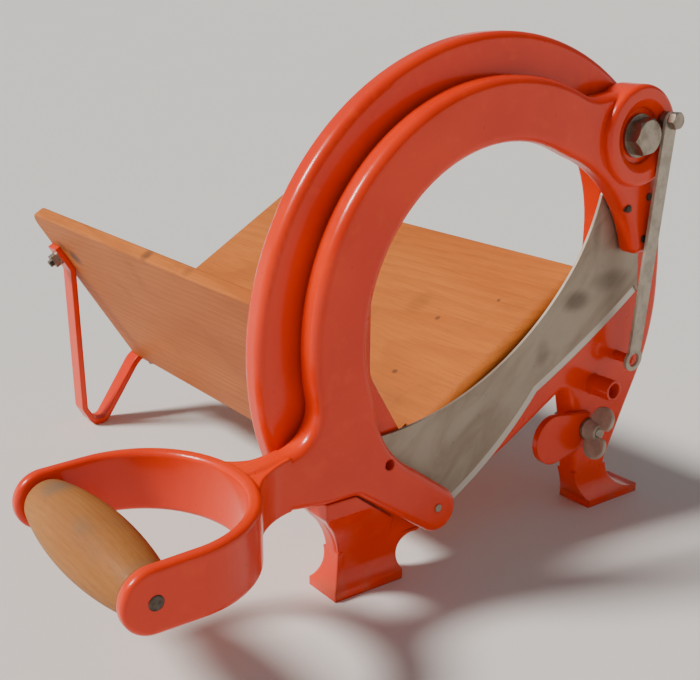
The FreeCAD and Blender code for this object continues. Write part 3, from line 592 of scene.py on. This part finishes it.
@dataclass(frozen=True)
class FloorPaper:
    """Plain pale matt floor."""

    pale: Rgb = linear(226, 223, 219)
    grey: Rgb = linear(218, 214, 209)

    def make(self) -> bpy.types.Material:
        """A matt surface with the faintest unevenness of tone.

        Returns:
            The material.
        """
        bench = Bench("floor_paper")
        tone = bench.noise(bench.place(), 2.0, 2.0)
        colour = bench.blend(tone * 0.25, self.pale, self.grey)
        return bench.surface(Base_Color=colour, Roughness=0.9)


class Finish(Enum):
    """The finishes: the record's six slots, and two that some zinc-slot nodes take instead."""

    ENAMEL = "orange_enamel"
    BLADE = "blade_steel"
    ZINC = "zinc"
    BRONZE = "bronze"
    GRIP = "beech_grip"
    BOARD = "oiled_boards"
    DARK_STEEL = "dark_steel"
    PALE_ZINC = "pale_zinc"


# The nodes that take another finish than their slot's.

OWN_FINISH = {
    "grip_rod": Finish.DARK_STEEL, "grip_washers": Finish.DARK_STEEL,
    "blade_heel_screws": Finish.DARK_STEEL, "wing_nut": Finish.PALE_ZINC,
    "lock_strap": Finish.PALE_ZINC, "board_nails": Finish.BOARD,
}


# Places and surfaces

@dataclass(frozen=True)
class Drawing:
    """The slicer's drawing, laid on the frame by the pivot bush."""

    shift: Triple

    @classmethod
    def found(cls) -> "Drawing":
        """Find where the drawing lies, from the bush that stands round the arm's pivot.

        Returns:
            The drawing.
        """
        low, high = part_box("pivot_bush")
        middle_x, middle_z = (low.x + high.x) / 2, (low.z + high.z) / 2
        return cls((middle_x - PIVOT_X * MM, low.y - BUSH_FRONT * MM, middle_z - PIVOT_Z * MM))

    def place(self, x: float, y: float, z: float) -> Triple:
        """A place of the drawing, in millimetres, as a place of the frame."""
        return (x * MM + self.shift[0], y * MM + self.shift[1], z * MM + self.shift[2])


@dataclass(frozen=True)
class Trough:
    """The cutting plane measured along the two boards: along the right one, and out along the left."""

    drawing: Drawing
    along: Triple = (math.cos(SLOPE), 0.0, math.sin(SLOPE))
    out: Triple = (-math.sin(SLOPE), 0.0, math.cos(SLOPE))

    def place(self, along: float, out: float, y: float) -> Triple:
        """A place from its distances from the valley and its depth, all in millimetres."""
        return self.drawing.place(VALLEY_X + self.along[0] * along + self.out[0] * out, y,
                                  VALLEY_Z + self.along[2] * along + self.out[2] * out)


@dataclass(frozen=True)
class Axis:
    """A line that turned shapes stand on: its foot and its direction."""

    foot: Triple
    way: Triple

    def frame(self) -> tuple[np.ndarray, np.ndarray, np.ndarray, np.ndarray]:
        """The line's own directions.

        Returns:
            The foot, the direction, and two directions square to it and to each other.
        """
        way = np.array(self.way, float)
        way /= np.linalg.norm(way)
        guide = np.array((0.0, 1.0, 0.0)) if abs(way[1]) < 0.9 else np.array((0.0, 0.0, 1.0))
        side = np.cross(guide, way)
        side /= np.linalg.norm(side)
        return np.array(self.foot, float), way, side, np.cross(way, side)

    def put(self, height: np.ndarray, radius: np.ndarray, angle: np.ndarray) -> np.ndarray:
        """Points from cylinder coordinates: foot + way * h + (side * cos a + up * sin a) * r.

        Args:
            height: h of each point, in metres.
            radius: r of each point.
            angle: a of each point, in radians.

        Returns:
            The points, as an array with a last axis of 3.
        """
        foot, way, side, up = self.frame()
        return (foot + height[..., None] * way + (radius * np.cos(angle))[..., None] * side
                + (radius * np.sin(angle))[..., None] * up)


def grid_faces(rows: int, columns: int) -> np.ndarray:
    """Quads between the points of a grid whose rows are closed rings.

    Args:
        rows: number of rows.
        columns: number of points in each ring.

    Returns:
        An array of quads.
    """
    row, column = np.meshgrid(np.arange(rows - 1), np.arange(columns), indexing="ij")
    beside = (column + 1) % columns
    above = row + 1
    quads = np.stack([row * columns + column, row * columns + beside,
                      above * columns + beside, above * columns + column], axis=-1)
    return quads.reshape(-1, 4)


def signed_volume(points: np.ndarray, faces: Sequence[Sequence[int]]) -> float:
    """Volume inside a closed mesh, each face cut into triangles from its first corner.

    Args:
        points: the mesh's corners.
        faces: its faces.

    Returns:
        The volume, positive if the faces point outwards.
    """
    total = 0.0
    for width in {len(face) for face in faces}:
        group = np.array([face for face in faces if len(face) == width])
        corner = points[group[:, 0]]
        for i in range(1, width - 1):
            total += float(np.einsum("ij,ij->i", corner,
                                     np.cross(points[group[:, i]], points[group[:, i + 1]])).sum()) / 6
    return total


def make_piece(name: str, points: np.ndarray, faces: list[list[int]]) -> bpy.types.Object:
    """A mesh object at the origin, faces outwards, smooth but for its sharp edges.

    Args:
        name: the piece's name.
        points: its corners.
        faces: its faces.

    Returns:
        The object.
    """
    if signed_volume(points, faces) < 0:
        faces = [face[::-1] for face in faces]
    mesh = bpy.data.meshes.new(name)
    mesh.from_pydata(points.tolist(), [], faces)
    mesh.validate()
    mesh.polygons.foreach_set("use_smooth", np.ones(len(mesh.polygons), bool))
    mesh.set_sharp_from_angle(angle=SHARP_TURN)
    piece = bpy.data.objects.new(name, mesh)
    bpy.context.scene.collection.objects.link(piece)
    return piece


def turned_solid(axis: Axis, height: np.ndarray, radius: np.ndarray) -> tuple[np.ndarray, list[list[int]]]:
    """A closed turned shape: rings from a first to a last pole.

    Row i, column j lies at height[i, j] and radius[i, j], at the angle 2 pi j / columns. The first and
    last rows have no radius, and each becomes one point.

    Args:
        axis: the line that it is turned on.
        height, radius: arrays of rows by columns, in metres.

    Returns:
        Its points and faces.
    """
    rows, columns = height.shape
    angle = np.broadcast_to(np.linspace(0, 2 * np.pi, columns, endpoint=False), height.shape)
    points = axis.put(height, radius, angle)
    inner = points[1:-1].reshape(-1, 3)
    poles = np.stack([points[0].mean(axis=0), points[-1].mean(axis=0)])
    everything = np.concatenate([inner, poles])
    low, high = len(inner), len(inner) + 1
    faces = grid_faces(rows - 2, columns).tolist()
    top = (rows - 3) * columns
    for j in range(columns):
        following = (j + 1) % columns
        faces.append([low, following, j])
        faces.append([high, top + j, top + following])
    return everything, faces


def joined(parts: list[tuple[np.ndarray, list[list[int]]]]) -> tuple[np.ndarray, list[list[int]]]:
    """Several meshes as one.

    Args:
        parts: points and faces of each.

    Returns:
        The points and faces of all.
    """
    points, faces, start = [], [], 0
    for own_points, own_faces in parts:
        points.append(own_points)
        faces += [[index + start for index in face] for face in own_faces]
        start += len(own_points)
    return np.concatenate(points), faces


def thread(height: np.ndarray, angle: np.ndarray, pitch: float) -> np.ndarray:
    """A thread's profile: a triangle wave of height / pitch - angle / turn, 0 in the root, 1 on the crest."""
    phase = (height / pitch - angle / (2 * np.pi)) % 1.0
    return 1 - np.abs(2 * phase - 1)


# Details

@dataclass
class WoodScrews:
    """Slotted round-head wood screws with cut threads, in place of plain ones."""

    node: str
    body: str
    head_radius: float = 3.8 * MM
    head_height: float = 2.4 * MM
    shank_radius: float = 2.0 * MM
    pitch: float = 1.7 * MM
    slot_width: float = 1.0 * MM
    slot_depth: float = 1.1 * MM
    slot_edge: float = 0.06 * MM
    first_turn: float = 0.7
    next_turn: float = 1.3
    columns: int = 64
    shank_rows: int = 56
    head_rows: int = 22

    def one(self, face: Triple, inward: Triple, depth: float, turn: float
            ) -> tuple[np.ndarray, list[list[int]]]:
        """One screw, from its tip to the top of its head.

        The shank's radius is its full size times 0.99 - 0.22 (1 - thread wave) on the cut part and 0.99
        above it, drawn in to the tip. The head is a quarter of an oval, sunk along the slot.

        Args:
            face: the place where the head stands on the work.
            inward: the way that the screw goes.
            depth: how far it goes.
            turn: the slot's direction, in radians.

        Returns:
            Its points and faces.
        """
        angle = np.linspace(0, 2 * np.pi, self.columns, endpoint=False)[None, :]
        rings = np.linspace(-depth + 0.3 * MM, -0.2 * MM, self.shank_rows)
        climb = np.concatenate([[-depth], rings])[:, None]
        cut = np.clip((-climb - depth * 0.25) / (0.4 * MM), 0, 1)
        point = np.clip((climb + depth) / (3.0 * MM), 0, 1) ** 0.6
        groove = 0.22 * cut * (1 - thread(climb, angle, self.pitch))
        shank = self.shank_radius * (0.99 - groove) * point
        dome = np.linspace(0.04, np.pi / 2, self.head_rows)[:, None]
        head = np.broadcast_to(self.head_radius * np.cos(dome), (self.head_rows, self.columns))
        rise = np.broadcast_to(self.head_height * (0.18 + 0.82 * np.sin(dome)), head.shape)
        across = np.abs(head * np.sin(angle - turn))
        sunk = 1 / (1 + np.exp((across - self.slot_width / 2) / self.slot_edge))
        rise = rise - sunk * np.maximum(rise - (self.head_height - self.slot_depth), 0)
        under = np.zeros((1, self.columns))
        heights = np.concatenate([np.broadcast_to(climb, shank.shape), under, under, rise])
        radii = np.concatenate([shank, np.full_like(under, self.shank_radius),
                                np.full_like(under, self.head_radius), head])
        radii[0] = radii[-1] = 0.0
        outward = tuple(-part for part in inward)
        return turned_solid(Axis(face, outward), heights, radii)

    def build(self, places: Sequence[tuple[Triple, Triple, float]]) -> bpy.types.Object:
        """All screws as one piece that stands for the node.

        Args:
            places: the face point, the inward way and the depth of each.

        Returns:
            The piece.
        """
        screws = [self.one(face, way, depth, self.first_turn + self.next_turn * i)
                  for i, (face, way, depth) in enumerate(places)]
        piece = make_piece(self.node + "_slotted", *joined(screws))
        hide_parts(self.node)
        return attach(piece, self.body)


@dataclass
class ThreadEnd:
    """The cut thread on the free end of a bolt, a sleeve that covers the bolt's plain end."""

    name: str
    body: str
    axis: Axis
    start: float
    end: float
    radius: float
    pitch: float
    cover: float = 1.004
    core: float = 0.88
    crest_height: float = 0.32 * 0.6
    cap: float = 0.06 * MM
    columns: int = 72
    rows_per_turn: int = 12

    def build(self) -> bpy.types.Object:
        """Thread: 1.004 of the bolt's radius, plus crests that fade in the last half turn.

        Returns:
            The piece.
        """
        angle = np.linspace(0, 2 * np.pi, self.columns, endpoint=False)[None, :]
        rows = int((self.end - self.start) / self.pitch * self.rows_per_turn)
        climb = np.linspace(self.start, self.end, rows)[:, None]
        fade = np.clip((self.end - climb) / (0.5 * self.pitch), 0, 1)
        crest = thread(climb, angle, self.pitch)
        wall = self.radius * self.cover + crest * fade * (self.crest_height * self.pitch)
        low = np.full((1, self.columns), self.start)
        high = np.full((1, self.columns), self.end + self.cap)
        heights = np.concatenate([low, low, np.broadcast_to(climb, wall.shape), high, high])
        inner = np.full((1, self.columns), self.radius * self.core)
        radii = np.concatenate([inner * 0, inner, wall, inner, inner * 0])
        piece = make_piece(self.name, *turned_solid(self.axis, heights, radii))
        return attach(piece, self.body)


@dataclass
class RodEnds:
    """Hammered ends of a rod: domes with a dished middle and shallow dents."""

    name: str
    body: str
    radius: float
    height: float
    dish: float
    seed: int
    dents: int = 5
    dent_share: float = 0.12
    foot: float = 0.2 * MM
    columns: int = 48
    rows: int = 18

    def build(self, axes: Sequence[Axis]) -> bpy.types.Object:
        """Both ends as one piece.

        Height over the prong: height * sqrt(1 - (r / R)^2), less dish * exp(-(r / 0.42 R)^2), less dents.

        Args:
            axes: the foot and the outward way of each end.

        Returns:
            The piece.
        """
        chance = np.random.default_rng(self.seed)
        angle = np.linspace(0, 2 * np.pi, self.columns, endpoint=False)[None, :]
        share = np.cos(np.linspace(0, np.pi / 2, self.rows))[:, None]
        radius = np.broadcast_to(self.radius * share, (self.rows, self.columns))
        parts = []
        for axis in axes:
            rise = self.height * np.sqrt(1 - share ** 2) - self.dish * np.exp(-(share / 0.42) ** 2)
            rise = np.broadcast_to(rise, radius.shape).copy()
            for _ in range(self.dents):
                far, round_about = chance.uniform(0.3, 0.9), chance.uniform(0, 2 * np.pi)
                gap = share ** 2 + far ** 2 - 2 * share * far * np.cos(angle - round_about)
                rise -= self.dent_share * self.height * np.exp(-gap / 0.05) * np.sqrt(1 - share ** 2)
            base = np.full((1, self.columns), -self.foot)
            heights = np.concatenate([base, base, rise])
            radii = np.concatenate([base * 0, np.full_like(base, self.radius), radius])
            radii[-1] = 0.0
            parts.append(turned_solid(axis, heights, radii))
        piece = make_piece(self.name, *joined(parts))
        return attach(piece, self.body)


# The slicer

@dataclass
class Slicer:
    """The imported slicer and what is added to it."""

    frame: dict[str, Any]
    drawing: Drawing

    def marks(self, *spots: tuple[Triple, Triple, float]) -> list[tuple[Triple, Triple, float]]:
        """Marks with their middles as places of the frame and their half sizes in metres."""
        return [(self.drawing.place(*middle), tuple(size * MM for size in radii), strength)
                for middle, radii, strength in spots]

    def finishes(self) -> dict[str, bpy.types.Material]:
        """Make every finish.

        Returns:
            The materials by the finishes' names.
        """
        grip = Timber(
            "beech_grip", pale=linear(176, 118, 62), tan=linear(158, 98, 48), late=linear(130, 76, 36),
            soil_and_shadow=linear(122, 96, 72), ring_width=2.6 * MM,
            heart=self.drawing.place(-118, 0, 96), tilt=0.02, roughness=0.62, coat=0.05, soil_share=0.30,
            ring_share=0.16)
        board = Timber(
            "oiled_boards", pale=linear(198, 112, 44), tan=linear(184, 98, 34), late=linear(146, 70, 22),
            soil_and_shadow=linear(104, 66, 42), ring_width=5.2 * MM,
            heart=self.drawing.place(150, 0, 10), tilt=0.035, roughness=0.55, coat=0.05, soil_share=0.16,
            ring_share=0.20)
        grip_marks = self.marks(((-137, 36, 94), (16, 16, 8), 0.9), ((-142, -10, 90), (7, 12, 8), 0.45),
                                # the last two make the grip darker towards both of its ends
                                ((-135, -52, 80), (16, 5, 18), 0.5), ((-135, 47, 80), (16, 5, 18), 0.5))
        board_stains_and_tab_shadow = self.marks(
            ((-27, 154, 166), (7, 7, 6), 0.8), ((-31, 104, 168), (9, 8, 5), 0.7),
            # painted shadow of the rear leg's upper tab on the left board's outer face
            ((-13, 296, 136), (8, 12, 10), 1.0), ((-17, 309, 141), (6, 10, 7), 0.8),
            ((125, 67, 123.5), (2.4, 2.6, 4), 1.0), ((85, 58.5, 98.8), (2.2, 3.0, 4), 1.0),
            ((148, 38, 137.8), (1.6, 1.8, 4), 1.0), ((131, 92, 127), (26, 12, 8), 0.28),
            ((70, 60, 90), (9, 60, 12), 0.22), ((110, 120, 114), (30, 8, 8), 0.18))
        return {
            Finish.ENAMEL.value: Enamel().make(),
            Finish.BLADE.value: BladeSteel().make(self.drawing),
            Finish.ZINC.value: Zinc().make(),
            Finish.BRONZE.value: Bronze().make(),
            Finish.GRIP.value: grip.make(grip_marks),
            Finish.BOARD.value: board.make(board_stains_and_tab_shadow),
            Finish.DARK_STEEL.value: Zinc(
                "dark_steel", metal=linear(84, 72, 62), dull=linear(58, 48, 42), rust=linear(70, 44, 32),
                rust_share=0.6, roughness=0.5).make(),
            Finish.PALE_ZINC.value: Zinc(
                "pale_zinc", metal=linear(184, 172, 154), dull=linear(164, 152, 136),
                rust=linear(120, 96, 74), rust_share=0.12, roughness=0.60, metallic=0.30).make(),
        }

    def dress(self, materials: dict[str, bpy.types.Material]) -> None:
        """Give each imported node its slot's finish, or its own where it has one.

        Args:
            materials: the materials by the finishes' names.
        """
        for row in self.frame["record"]["subparts"]:
            node = self.frame["nodes"][row["node"]]
            own = OWN_FINISH.get(row["node"])
            name = own.value if own else row["material_slot"]
            node.data.materials.clear()
            node.data.materials.append(materials[name])
            log.info("finish %s on %s", name, row["node"])

    def details(self) -> dict[str, tuple[bpy.types.Object, str]]:
        """Build the added pieces.

        Returns:
            Each piece with the finish that it takes.
        """
        at, trough = self.drawing.place, Trough(self.drawing)
        shelf = [(trough.place(place, -SHELF_UNDER, SHELF_SCREW_Y), trough.out, 16 * MM)
                 for place in SHELF_SCREW_PLACES]
        shelf.append((trough.place(-SIDE_SHELF_BACK, SIDE_SCREW_PLACE, SHELF_SCREW_Y), trough.along, 11 * MM))
        tab = [(trough.place(-TAB_SCREW_ASIDE, -TAB_UNDER, y), trough.out, 16 * MM) for y in TAB_SCREW_YS]
        rod = [Axis(at(GRIP_X, ROD_FRONT, GRIP_Z), (0, -1, 0)), Axis(at(GRIP_X, ROD_BACK, GRIP_Z), (0, 1, 0))]
        bolt_way = (-trough.along[0], 0.0, -trough.along[2])
        ends = RodEnds("rod_ends", "cutting_arm", radius=3.6 * MM, height=0.8 * MM, dish=0.7 * MM, seed=3)
        pivot = ThreadEnd("pivot_thread", "base", Axis(at(PIVOT_X, 0, PIVOT_Z), (0, 1, 0)),
                          start=38.6 * MM, end=43.0 * MM, radius=6.0 * MM, pitch=1.75 * MM)
        stud = ThreadEnd("stud_thread", "base", Axis(at(STUD_X, 0, STUD_Z), (0, -1, 0)),
                         start=8.6 * MM, end=10.8 * MM, radius=3.0 * MM, pitch=1.0 * MM)
        leg_bolt = ThreadEnd("leg_bolt_thread", "base",
                             Axis(trough.place(0, LEG_BOLT_PLACE, LEG_BOLT_Y), bolt_way),
                             start=17.6 * MM, end=20.8 * MM, radius=2.5 * MM, pitch=0.8 * MM)
        return {
            "shelf_screws": (WoodScrews("shelf_screws", "base").build(shelf), Finish.ZINC.value),
            "leg_screws": (WoodScrews("leg_screws", "base").build(tab), Finish.DARK_STEEL.value),
            "rod_ends": (ends.build(rod), Finish.DARK_STEEL.value),
            "pivot_thread": (pivot.build(), Finish.ZINC.value),
            "stud_thread": (stud.build(), Finish.ZINC.value),
            "leg_bolt_thread": (leg_bolt.build(), Finish.DARK_STEEL.value),
        }


# Studio

def way_out(azimuth: float, elevation: float) -> Vector:
    """The way from the slicer to something round it: (sin a cos e, -cos a cos e, sin e).

    Args:
        azimuth: degrees round it. 0 is the front and -90 the left.
        elevation: degrees above the table.

    Returns:
        The direction, of length 1.
    """
    turn, rise = math.radians(azimuth), math.radians(elevation)
    return Vector((math.sin(turn) * math.cos(rise), -math.cos(turn) * math.cos(rise), math.sin(rise)))


@dataclass(frozen=True)
class Lamp:
    """A soft distant light, like the sky's bright part. Softness is its width in degrees."""

    name: str
    azimuth: float
    elevation: float
    softness: float
    strength: float
    colour: Rgb

    def build(self) -> None:
        """Hang the light."""
        data = bpy.data.lights.new(self.name, "SUN")
        data.angle = math.radians(self.softness)
        data.energy = self.strength
        data.color = self.colour
        lamp = bpy.data.objects.new(self.name, data)
        lamp.rotation_mode = "QUATERNION"
        lamp.rotation_quaternion = way_out(self.azimuth, self.elevation).to_track_quat("Z", "Y")
        bpy.context.scene.collection.objects.link(lamp)


@dataclass
class Studio:
    """Floor, soft lights and the camera at the photograph's view."""

    drawing: Drawing
    azimuth: float = -36.62
    elevation: float = 17.25
    roll: float = 0.56
    eye: Triple = (-307.53, -424.53, 311.25)
    focal_pixels: float = 1100.0
    image_width: float = 700.0
    sensor: float = 36.0
    floor_half: float = 40.0
    floor_flat: float = 6.0
    floor_rise: float = 0.006
    floor_gap: float = 0.05 * MM
    floor_steps: int = 40
    sky: Rgb = (0.80, 0.82, 0.86)
    sky_strength: float = 0.22

    def floor(self) -> None:
        """Lay the floor: flat under the slicer, and far off it rises as rise (distance - flat)^2."""
        row = self.floor_steps + 1
        side = np.linspace(-self.floor_half, self.floor_half, row)
        x, y = np.meshgrid(side, side, indexing="ij")
        beyond = np.maximum(np.hypot(x, y) - self.floor_flat, 0.0)
        points = np.stack([x, y, self.floor_rise * beyond ** 2 - self.floor_gap], axis=-1).reshape(-1, 3)
        faces = [[i * row + j, (i + 1) * row + j, (i + 1) * row + j + 1, i * row + j + 1]
                 for i in range(self.floor_steps) for j in range(self.floor_steps)]
        mesh = bpy.data.meshes.new("floor")
        mesh.from_pydata(points.tolist(), [], faces)
        mesh.polygons.foreach_set("use_smooth", np.ones(len(faces), bool))
        mesh.materials.append(FloorPaper().make())
        floor = bpy.data.objects.new("floor", mesh)
        bpy.context.scene.collection.objects.link(floor)

    def camera(self) -> None:
        """Set the camera at the photograph's place, looking the photograph's way."""
        data = bpy.data.cameras.new("camera")
        data.sensor_width = self.sensor
        data.lens = self.focal_pixels * self.sensor / self.image_width
        data.clip_start, data.clip_end = 0.02, 200.0
        roll = math.radians(self.roll)
        back = way_out(self.azimuth, self.elevation)
        level = (-back).cross(Vector((0, 0, 1))).normalized()
        upright = level.cross(-back)
        right = level * math.cos(roll) + upright * math.sin(roll)
        up = upright * math.cos(roll) - level * math.sin(roll)
        camera = bpy.data.objects.new("camera", data)
        turn = Matrix((right, up, back)).transposed().to_4x4()
        camera.matrix_world = Matrix.Translation(self.drawing.place(*self.eye)) @ turn
        bpy.context.scene.collection.objects.link(camera)
        bpy.context.scene.camera = camera

    def light(self) -> None:
        """Hang the lights and set the pale surroundings."""
        Lamp("key", azimuth=-118.0, elevation=46.0, softness=14.0, strength=4.6,
             colour=(1.0, 0.97, 0.92)).build()
        Lamp("fill", azimuth=-20.0, elevation=30.0, softness=70.0, strength=0.08,
             colour=(0.95, 0.97, 1.0)).build()
        world = bpy.data.worlds.new("surroundings")
        world.use_nodes = True
        background = world.node_tree.nodes["Background"]
        background.inputs["Color"].default_value = (*self.sky, 1.0)
        background.inputs["Strength"].default_value = self.sky_strength
        bpy.context.scene.world = world


def main() -> None:
    """Load the frame, dress it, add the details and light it."""
    logging.basicConfig(level=logging.INFO, format="%(name)s: %(message)s")
    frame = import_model()
    drawing = Drawing.found()
    slicer = Slicer(frame, drawing)
    materials = slicer.finishes()
    slicer.dress(materials)
    for name, (piece, finish) in slicer.details().items():
        piece.data.materials.append(materials[finish])
        log.info("added %s: %d faces", name, len(piece.data.polygons))
    studio = Studio(drawing)
    studio.floor()
    studio.light()
    studio.camera()


if __name__ == "__main__":
    main()
